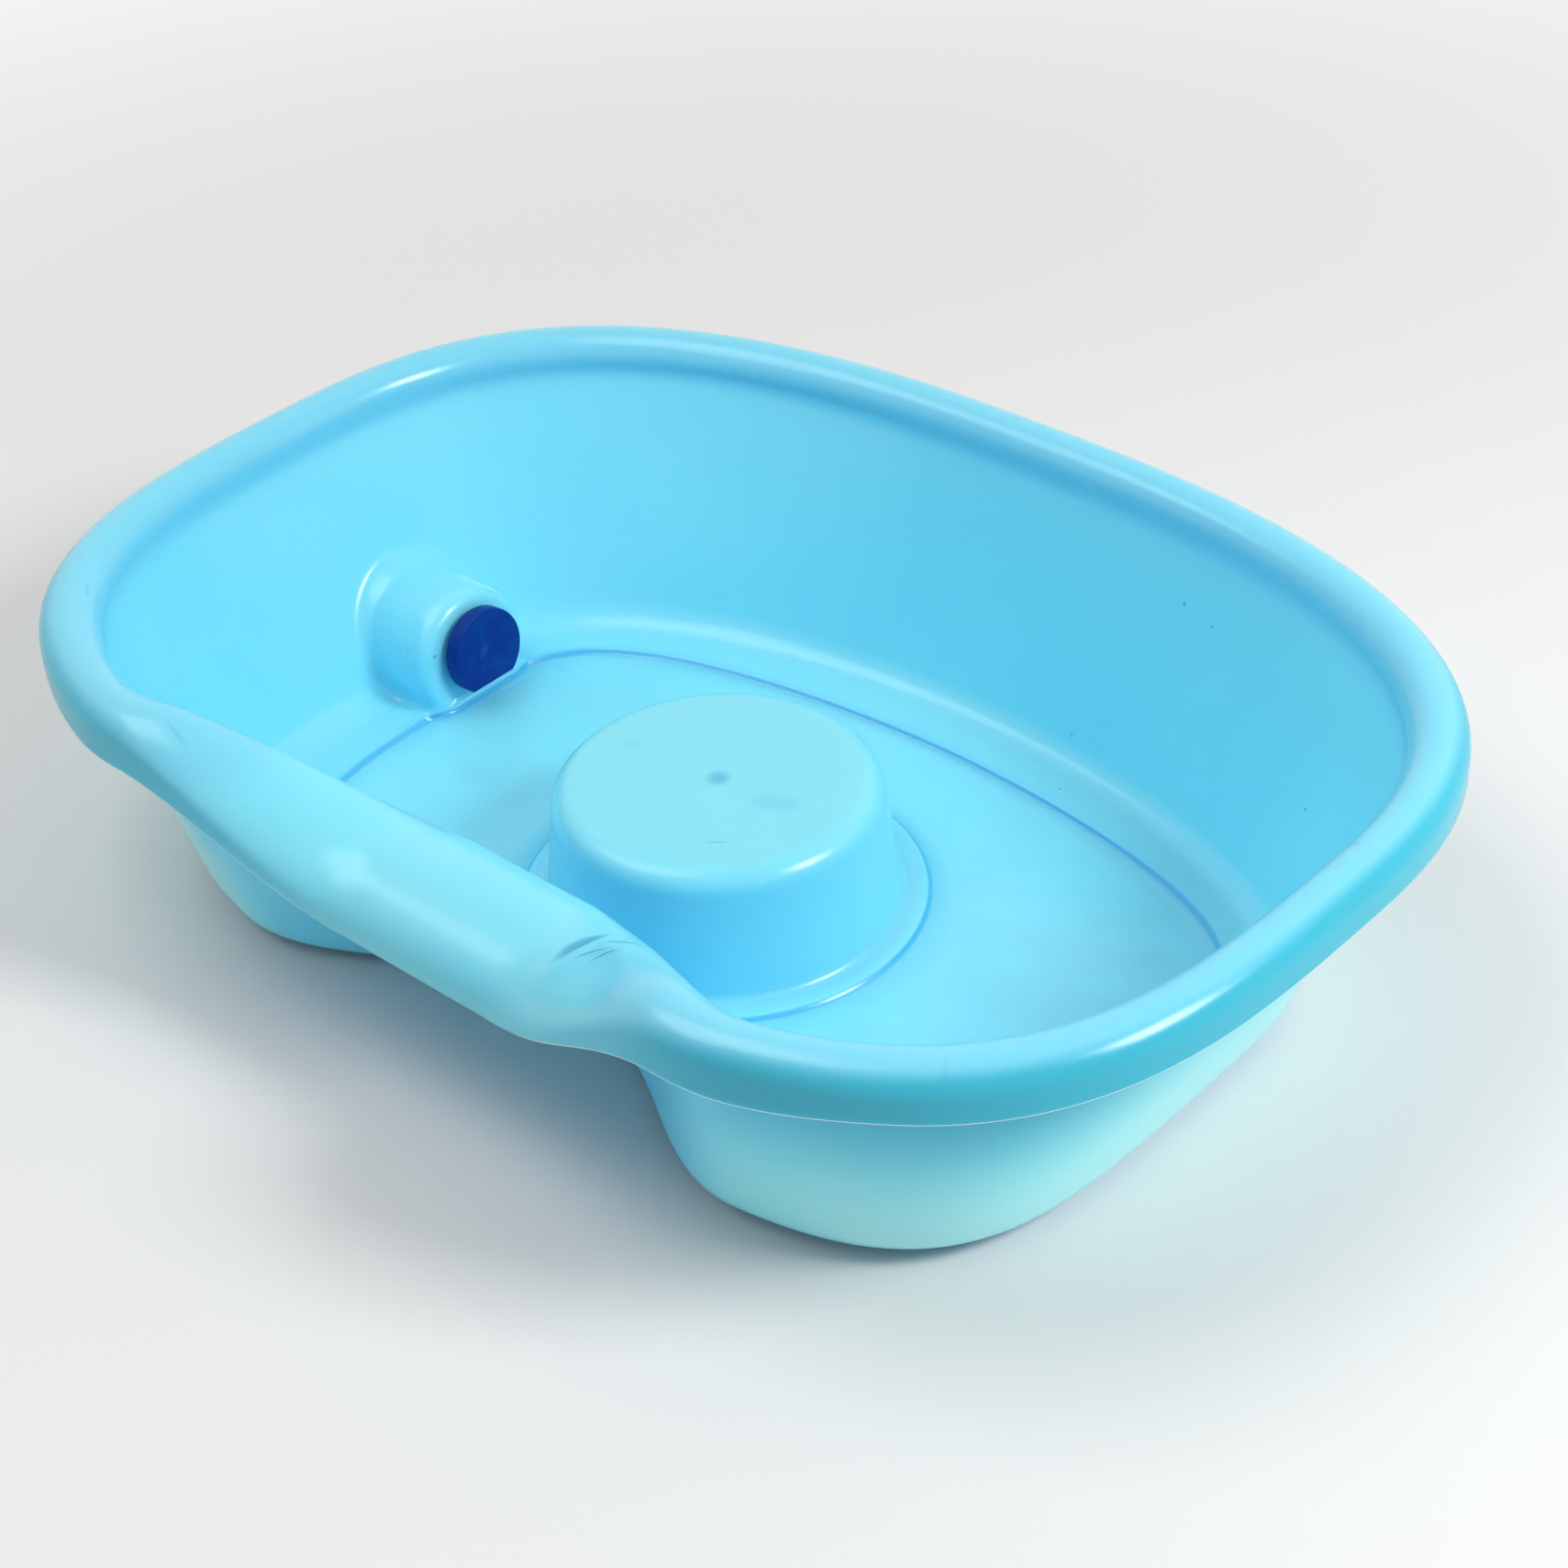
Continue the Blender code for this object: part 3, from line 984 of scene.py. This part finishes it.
@dataclass
class SealingRing:
    """The soft ring that is squeezed between the stopper's head and the boss's face."""

    axis_place: Matrix
    inner_radius: float = 0.0099
    width: float = 0.0036
    length: float = 0.0015
    face_gap: float = 0.0003

    def build(self) -> Piece:
        """Model the ring from a torus, flattened along the drain's axis.

        Returns:
            The ring.
        """
        deselect_all()
        bpy.ops.mesh.primitive_torus_add(
            major_segments=96,
            minor_segments=16,
            major_radius=self.inner_radius + self.width / 2,
            minor_radius=self.width / 2,
        )
        piece = named("sealing_ring")
        flatten = Matrix.Scale(self.length / self.width, 4, (0, 0, 1))
        shift = Matrix.Translation((0, 0, self.face_gap + self.length / 2))
        bpy.ops.object.shade_smooth()
        apply_place(piece, self.axis_place @ shift @ flatten)
        return piece


class Nodes:
    """A node tree, with short calls that add nodes and feed them."""

    def __init__(self, tree: bpy.types.NodeTree) -> None:
        """Start from a tree, and add the coordinates that its nodes read.

        Args:
            tree: The tree.
        """
        self.tree = tree
        coordinates = self.add("ShaderNodeTexCoord").outputs
        self.place = coordinates["Object"]
        self.normal = coordinates["Normal"]
        self.direction = coordinates["Generated"]

    def feed(self, target: Socket, value: object) -> None:
        """Give an input a fixed value or another node's output.

        Args:
            target: The input.
            value: The value or output.
        """
        if isinstance(value, Socket):
            self.tree.links.new(value, target)
        else:
            target.default_value = value

    def add(self, kind: str, inputs: dict | None = None, **values: object) -> bpy.types.Node:
        """Add a node, set its properties and feed its inputs.

        Args:
            kind: The node's type.
            inputs: What goes into its inputs, by name or number.
            **values: Its properties.

        Returns:
            The node.
        """
        node = self.tree.nodes.new(kind)
        for key, value in values.items():
            setattr(node, key, value)
        for key, value in (inputs or {}).items():
            self.feed(node.inputs[key], value)
        return node

    def noise(self, scale: float, detail: float) -> Socket:
        """Return a noise pattern with so many features per metre, in the piece's coordinates."""
        inputs = {"Vector": self.place, "Scale": scale, "Detail": detail}
        return self.add("ShaderNodeTexNoise", inputs).outputs["Fac"]

    def spread(
        self, value: Socket, low: float, high: float, to_low: float, to_high: float
    ) -> Socket:
        """Map a value from one range to another, eased at both ends.

        Args:
            value: The value.
            low: Where the range starts.
            high: Where it ends.
            to_low: What its start becomes.
            to_high: What its end becomes.

        Returns:
            The new value.
        """
        inputs = {"Value": value, "From Min": low, "From Max": high}
        inputs |= {"To Min": to_low, "To Max": to_high}
        node = self.add("ShaderNodeMapRange", inputs, interpolation_type="SMOOTHSTEP")
        return node.outputs["Result"]

    def mix(self, share: Socket, first: tuple | Socket, second: tuple | Socket) -> Socket:
        """Mix two colours, each a fixed one or another node's output."""
        inputs = {"Factor": share, 6: first, 7: second}
        return self.add("ShaderNodeMix", inputs, data_type="RGBA").outputs[2]

    def math(self, operation: str, first: Socket, second: float | Socket) -> Socket:
        """Join two values by an operation, the second one fixed or another node's."""
        return self.add("ShaderNodeMath", {0: first, 1: second}, operation=operation).outputs[0]

    def length(self, vector: Socket) -> Socket:
        """Return a vector's length."""
        return self.add("ShaderNodeVectorMath", {0: vector}, operation="LENGTH").outputs["Value"]

    def attribute(self, name: str) -> Socket:
        """Return an attribute of the mesh."""
        return self.add("ShaderNodeAttribute", attribute_name=name).outputs["Fac"]

    def height(self) -> Socket:
        """Return the height of the point that is shaded."""
        return self.add("ShaderNodeSeparateXYZ", {0: self.place}).outputs["Z"]

    def outward(self, low: float, high: float) -> Socket:
        """Return how far the surface faces away from the upright axis.

        Args:
            low: The distance from the axis times the facing at which it starts.
            high: The product at which it is 1.

        Returns:
            A share.
        """
        flat = self.add("ShaderNodeVectorMath", {0: self.place, 1: (1, 1, 0)}, operation="MULTIPLY")
        inputs = {0: flat.outputs["Vector"], 1: self.normal}
        facing = self.add("ShaderNodeVectorMath", inputs, operation="DOT_PRODUCT")
        return self.spread(facing.outputs["Value"], low, high, 0, 1)

    def seen(self) -> Socket:
        """Return 1 for rays that show the surroundings in the picture, and else 0.

        Returns:
            The share.
        """
        path = self.add("ShaderNodeLightPath").outputs
        shown = self.math("MAXIMUM", path["Is Camera Ray"], path["Is Glossy Ray"])
        return self.math("MAXIMUM", shown, path["Is Transmission Ray"])


class Paint(Nodes):
    """A material's nodes, around its shader."""

    def __init__(self, name: str) -> None:
        """Make a material with a Principled shader.

        Args:
            name: The material's name.
        """
        self.material = bpy.data.materials.new(name)
        self.material.use_nodes = True
        super().__init__(self.material.node_tree)
        self.shader = self.tree.nodes["Principled BSDF"]

    def coat(self, inputs: dict) -> None:
        """Feed the shader's inputs."""
        for key, value in inputs.items():
            self.feed(self.shader.inputs[key], value)

    def bump(self, height: Socket, strength: float, distance: float) -> None:
        """Raise the surface by a pattern, on top of what raises it already.

        Args:
            height: The pattern's value.
            strength: How much of it shows.
            distance: How far a value of 1 rises.
        """
        inputs = {"Height": height, "Strength": strength, "Distance": distance}
        node = self.add("ShaderNodeBump", inputs)
        normal = self.shader.inputs["Normal"]
        if normal.is_linked:
            self.feed(node.inputs["Normal"], normal.links[0].from_socket)
        self.feed(normal, node.outputs["Normal"])


@dataclass(frozen=True)
class Mark:
    """A soft dark mark from one point to another, left by moulding or use; along the neck rest's
    grooves it is painted shade.

    Attributes:
        start: Its start.
        end: Its end, which may be the same point.
        width: Its width.
        strength: How dark it is, up to 1.
        reach: How far it reaches above and below the line.
    """

    start: tuple
    end: tuple
    width: float
    strength: float
    reach: float = 0.0025

    def shade(self, nodes: Nodes) -> Socket:
        """Return the mark's darkness at the point that is shaded.

        Args:
            nodes: The nodes to add it to.

        Returns:
            The darkness.
        """
        start, end = Vector(self.start), Vector(self.end)
        along = end - start
        half = self.width / 2
        inputs = {"Vector": nodes.place, "Location": (start + end) / 2}
        inputs["Scale"] = (along.length / 2 + half, half, self.reach)
        if along.length > 0:
            inputs["Rotation"] = along.to_track_quat("X", "Z").to_euler()
        mapping = nodes.add("ShaderNodeMapping", inputs, vector_type="TEXTURE")
        return nodes.spread(nodes.length(mapping.outputs["Vector"]), 0.25, 1, self.strength, 0)


def speck(place: tuple, width: float, strength: float) -> Mark:
    """Return a round speck."""
    return Mark(place, place, width, strength, width / 2)


def darkest(nodes: Nodes, marks: tuple[Mark, ...]) -> Socket:
    """Return the darkness of the darkest of some marks.

    Args:
        nodes: The nodes to add them to.
        marks: The marks.

    Returns:
        The darkness.
    """
    value = marks[0].shade(nodes)
    for mark in marks[1:]:
        value = nodes.math("MAXIMUM", value, mark.shade(nodes))
    return value


# Grooves at the neck rest's right end: they dent the surface, and their darkness is painted shade
# down in them.
GROOVES_AND_SHADE = (
    Mark((0.0494, -0.1418, 0.0758), (0.0540, -0.1251, 0.0770), 0.0080, 1.0, 0.012),
    Mark((0.0572, -0.1412, 0.0791), (0.0665, -0.1343, 0.0838), 0.0030, 0.8, 0.005),
    Mark((0.0672, -0.1436, 0.0847), (0.0720, -0.1354, 0.0868), 0.0032, 1.0, 0.005),
    Mark((0.0590, -0.1290, 0.0797), (0.0760, -0.1265, 0.0880), 0.0050, 0.4, 0.005),
)
SMUDGES = (
    Mark((0, -0.0162, 0.0514), (0, -0.0162, 0.0514), 0.0120, 0.7),
    Mark((-0.0390, -0.0190, 0.0514), (-0.0360, -0.0190, 0.0514), 0.0090, 0.12),
    Mark((0.0190, -0.0180, 0.0514), (0.0310, -0.0120, 0.0514), 0.0130, 0.22),
    Mark((0.0211, -0.0465, 0.0514), (0.0286, -0.0406, 0.0514), 0.0016, 0.5),
    Mark((0.1952, -0.1316, 0.1084), (0.2009, -0.1387, 0.1031), 0.0022, 0.35),
    Mark((-0.1970, -0.1210, 0.1080), (-0.1900, -0.1270, 0.1060), 0.0022, 0.35),
    Mark((-0.1104, -0.1584, 0.1066), (-0.0967, -0.1602, 0.1004), 0.0030, 0.3),
    speck((-0.1605, -0.0015, 0.0288), 0.0024, 0.8),
    speck((-0.1705, -0.0068, 0.0295), 0.0022, 0.7),
    speck((0.0815, 0.1412, 0.0748), 0.0022, 0.9),
    speck((0.0958, 0.1378, 0.0725), 0.0020, 0.8),
    speck((0.0473, 0.1217, 0.0148), 0.0018, 0.7),
    speck((0.0562, 0.1031, 0.0044), 0.0018, 0.7),
    speck((0.1611, 0.1009, 0.0438), 0.0022, 0.9),
    speck((0.2295, 0.0207, 0.1076), 0.0030, 0.4),
)
STOPPER_MARKS = (
    Mark((-0.1523, 0.0150, 0.0250), (-0.1523, 0.0165, 0.0268), 0.0060, 0.8),
    Mark((-0.1576, 0.0157, 0.0410), (-0.1530, 0.0182, 0.0353), 0.0010, 1.0),
)


@dataclass(frozen=True)
class BasinPlastic:
    """Semi-gloss, slightly translucent moulded plastic.

    Attributes:
        light: The colour that most of it has.
        deep: The colour of its cloudy patches.
        rim: The colour of its rolled rim, darker with painted shade.
        flank_shade: The colour of its outer side high up under the rim, darkened with painted
            shade.
        foot: The colour of its outer side near the floor, paled with painted light.
        crease_shade: The colour of the painted shade down in the folds at its steps.
        lip_light: The colour of the painted light along the skirt's thin lip edge.
        mark: The colour of marks on it.
        rim_from: The height at which the rim's painted shade starts.
        rim_to: The height at which it is full.
        foot_from: The height up to which the outer side has its foot's painted light.
        foot_to: The height from which it has the painted shade high up under the rim.
        outer_from: The distance from the axis times the facing where the outer side starts.
        outer_to: The product where it is full.
        mark_share: How much of the marks' own colour shows.
    """

    light: tuple = (0.243, 0.755, 1.0, 1)
    deep: tuple = (0.22, 0.73, 0.985, 1)
    rim: tuple = (0.205, 0.655, 0.86, 1)
    flank_shade: tuple = (0.035, 0.5, 0.65, 1)
    foot: tuple = (0.46, 0.98, 1.0, 1)
    crease_shade: tuple = (0.06, 0.49, 0.79, 1)
    lip_light: tuple = (0.8, 0.98, 1.0, 1)
    # mark: The colour of marks on it, and of the painted shade in its grooves.
    mark: tuple = (0.04, 0.36, 0.56, 1)
    rim_from: float = 0.086
    rim_to: float = 0.1
    foot_from: float = 0.012
    foot_to: float = 0.084
    outer_from: float = 0.08
    outer_to: float = 0.19
    mark_share: float = 0.8
    groove_depth: float = 0.001
    rough_low: float = 0.2
    rough_high: float = 0.26
    scatter: float = 0.8
    scatter_size: float = 0.006

    def make(self) -> bpy.types.Material:
        """Return the material.

        Returns:
            The material.
        """
        nodes = Paint("basin_plastic")
        clouds = nodes.noise(9, 3)
        colour = nodes.mix(nodes.spread(clouds, 0.3, 0.7, 0, 1), self.light, self.deep)
        height = nodes.height()
        # Painted shade darkens the rolled rim.
        rim_shade_share = nodes.spread(height, self.rim_from, self.rim_to, 0, 1)
        colour = nodes.mix(rim_shade_share, colour, self.rim)
        # The outer side has painted shade high up under the rim and painted light near the floor.
        low = nodes.spread(height, self.foot_from, self.foot_to, 1, 0)
        outer = nodes.mix(low, self.flank_shade, self.foot)
        colour = nodes.mix(nodes.outward(self.outer_from, self.outer_to), colour, outer)
        # Painted shade darkens the folds at the floor's step and at the ledge's foot.
        colour = nodes.mix(nodes.attribute("crease_shade"), colour, self.crease_shade)
        # Painted light brightens the skirt's thin lip edge.
        colour = nodes.mix(nodes.attribute("lip_light"), colour, self.lip_light)
        # The grooves' darkness is painted shade; the smudges and specks are real marks.
        grooves_and_shade = darkest(nodes, GROOVES_AND_SHADE)
        marks = nodes.math("MAXIMUM", grooves_and_shade, darkest(nodes, SMUDGES))
        colour = nodes.mix(nodes.math("MULTIPLY", marks, self.mark_share), colour, self.mark)
        nodes.coat({
            "Base Color": colour,
            "Roughness": nodes.spread(
                nodes.noise(16, 4), 0.3, 0.7, self.rough_low, self.rough_high
            ),
            "Subsurface Weight": self.scatter,
            "Subsurface Radius": (0.8, 0.9, 1.0),
            "Subsurface Scale": self.scatter_size,
            "IOR": 1.49,
        })
        nodes.bump(nodes.noise(420, 1), 0.1, 0.00004)
        nodes.bump(nodes.noise(30, 1), 0.1, 0.0004)
        nodes.bump(grooves_and_shade, 0.8, -self.groove_depth)
        return nodes.material


@dataclass(frozen=True)
class StopperPlastic:
    """Satin dark blue plastic."""

    colour: tuple = (0.0, 0.03, 0.215, 1)
    dusty: tuple = (0.0, 0.045, 0.25, 1)
    mark: tuple = (0.01, 0.09, 0.36, 1)
    mark_share: float = 0.6

    def make(self) -> bpy.types.Material:
        """Return the material.

        Returns:
            The material.
        """
        nodes = Paint("stopper_plastic")
        clouds = nodes.noise(160, 4)
        colour = nodes.mix(nodes.spread(clouds, 0.4, 0.75, 0, 1), self.colour, self.dusty)
        marks = nodes.math("MULTIPLY", darkest(nodes, STOPPER_MARKS), self.mark_share)
        nodes.coat({
            "Base Color": nodes.mix(marks, colour, self.mark),
            "Roughness": nodes.spread(nodes.noise(400, 3), 0.3, 0.7, 0.36, 0.5),
            "Specular IOR Level": 0.12,
        })
        nodes.bump(nodes.noise(900, 2), 0.08, 0.0001)
        return nodes.material


@dataclass(frozen=True)
class SealRubber:
    """Matt dark rubber."""

    colour: tuple = (0.012, 0.014, 0.022, 1)
    worn: tuple = (0.03, 0.034, 0.045, 1)

    def make(self) -> bpy.types.Material:
        """Return the material.

        Returns:
            The material.
        """
        nodes = Paint("seal_rubber")
        colour = nodes.mix(nodes.noise(700, 3), self.colour, self.worn)
        nodes.coat({"Base Color": colour, "Roughness": 0.65})
        nodes.bump(nodes.noise(1500, 2), 0.1, 0.0001)
        return nodes.material


@dataclass(frozen=True)
class Lamp:
    """A soft square lamp that points at the basin.

    Attributes:
        name: Its name.
        place: Where it hangs.
        size: The length of its side.
        power: Its power in watts.
    """

    name: str
    place: tuple
    size: float
    power: float

    def add(self) -> None:
        """Add the lamp to the scene."""
        data = bpy.data.lights.new(self.name, "AREA")
        data.shape = "SQUARE"
        data.size = self.size
        data.energy = self.power
        light = bpy.data.objects.new(self.name, data)
        bpy.context.scene.collection.objects.link(light)
        light.location = self.place
        light.rotation_euler = (-Vector(self.place)).to_track_quat("-Z", "Y").to_euler()


LAMPS = (
    Lamp("left", (-0.52, -0.47, 1.44), 1.0, 9),
    Lamp("right", (1.17, 0.36, 1.03), 0.45, 15),
)


@dataclass
class Studio:
    """The pale floor, the soft lights and the camera.

    Attributes:
        behind: The direction in which the surrounding is brightest.
        near: How far from the basin the floor starts to turn white.
        far: How far from it the floor is wholly white.
        dim: The surrounding's strength on the other side.
        bright: Its strength where it is brightest.
    """

    camera_place: tuple = (0.61286, -0.63372, 0.66679)
    azimuth: float = math.radians(43.293)
    elevation: float = math.radians(35.455)
    roll: float = math.radians(2.969)
    lens: float = 71.44
    floor_colour: tuple = (0.8, 0.8, 0.79, 1)
    behind: tuple = (-0.5, 0.6, 0.62)
    near: float = 0.35
    far: float = 1.3
    dim: float = 0.24
    bright: float = 0.65

    def add_camera(self) -> None:
        """Add the camera at the photograph's place and angle."""
        right = Vector((math.cos(self.azimuth), math.sin(self.azimuth), 0))
        ahead = Vector((
            -math.sin(self.azimuth) * math.cos(self.elevation),
            math.cos(self.azimuth) * math.cos(self.elevation),
            -math.sin(self.elevation),
        ))
        down = ahead.cross(right)
        across = math.cos(self.roll) * right + math.sin(self.roll) * down
        below = math.cos(self.roll) * down - math.sin(self.roll) * right
        turn = Matrix((across, -below, -ahead)).transposed().to_4x4()
        data = bpy.data.cameras.new("camera")
        data.lens = self.lens
        data.sensor_width = 36
        data.clip_end = 50
        camera = bpy.data.objects.new("camera", data)
        bpy.context.scene.collection.objects.link(camera)
        camera.matrix_world = Matrix.Translation(self.camera_place) @ turn
        bpy.context.scene.camera = camera

    def add_floor(self) -> None:
        """Add the floor that the basin stands on."""
        deselect_all()
        bpy.ops.mesh.primitive_plane_add(size=8)
        floor = named("studio_floor")
        paint = Paint("floor_paint")
        paint.coat({"Base Color": self.floor_colour, "Roughness": 0.9})
        surface = paint.shader.outputs["BSDF"]
        out = surface.links[0].to_socket
        far = paint.spread(paint.length(paint.place), self.near, self.far, 0, 1)
        share = paint.math("MULTIPLY", far, paint.seen())
        white = paint.add("ShaderNodeEmission").outputs[0]
        both = paint.add("ShaderNodeMixShader", {0: share, 1: surface, 2: white})
        paint.feed(out, both.outputs[0])
        floor.data.materials.append(paint.material)

    def add_world(self) -> None:
        """Add a pale surrounding that is brighter behind the basin."""
        world = bpy.data.worlds.new("studio_world")
        world.use_nodes = True
        bpy.context.scene.world = world
        nodes = Nodes(world.node_tree)
        inputs = {0: nodes.direction, 1: self.behind}
        towards = nodes.add("ShaderNodeVectorMath", inputs, operation="DOT_PRODUCT")
        inputs = {"Value": towards.outputs["Value"], "From Min": 0}
        inputs |= {"To Min": self.dim, "To Max": self.bright}
        level = nodes.add("ShaderNodeMapRange", inputs).outputs["Result"]
        strength = nodes.add("ShaderNodeMix", {"Factor": nodes.seen(), "A": level, "B": 1})
        backdrop = world.node_tree.nodes["Background"]
        nodes.feed(backdrop.inputs["Color"], (1, 1, 1, 1))
        nodes.feed(backdrop.inputs["Strength"], strength.outputs["Result"])

    def build(self) -> None:
        """Set up the whole studio."""
        self.add_camera()
        self.add_floor()
        self.add_world()
        for lamp in LAMPS:
            lamp.add()
        bpy.context.scene.view_settings.view_transform = "Standard"


def dress(piece: Piece, material: bpy.types.Material, body: str) -> None:
    """Give a piece its material, let it ride on its body, and log its triangles.

    Args:
        piece: The piece.
        material: Its material.
        body: The CAD body that it moves with.
    """
    piece.data.materials.clear()
    piece.data.materials.append(material)
    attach(piece, body)
    triangles = sum(len(face.vertices) - 2 for face in piece.data.polygons)
    LOG.info("%s: %d triangles", piece.name, triangles)


def main() -> None:
    """Build the studio and every piece of the basin."""
    logging.basicConfig(level=logging.INFO, format="%(message)s")
    Studio().build()
    low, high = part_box(BASIN_NODE)
    basin = Basin(length=high.x - low.x, height=high.z - low.z)
    moulding = basin.build()
    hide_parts(BASIN_NODE)
    dress(moulding, BasinPlastic().make(), "basin")
    stopper = Stopper(basin.boss.axis_place).build()
    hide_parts(STOPPER_NODE)
    dress(stopper, StopperPlastic().make(), "plug")
    seal = SealingRing(basin.boss.axis_place).build()
    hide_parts(SEAL_NODE)
    dress(seal, SealRubber().make(), "plug")


if __name__ == "__main__":
    main()
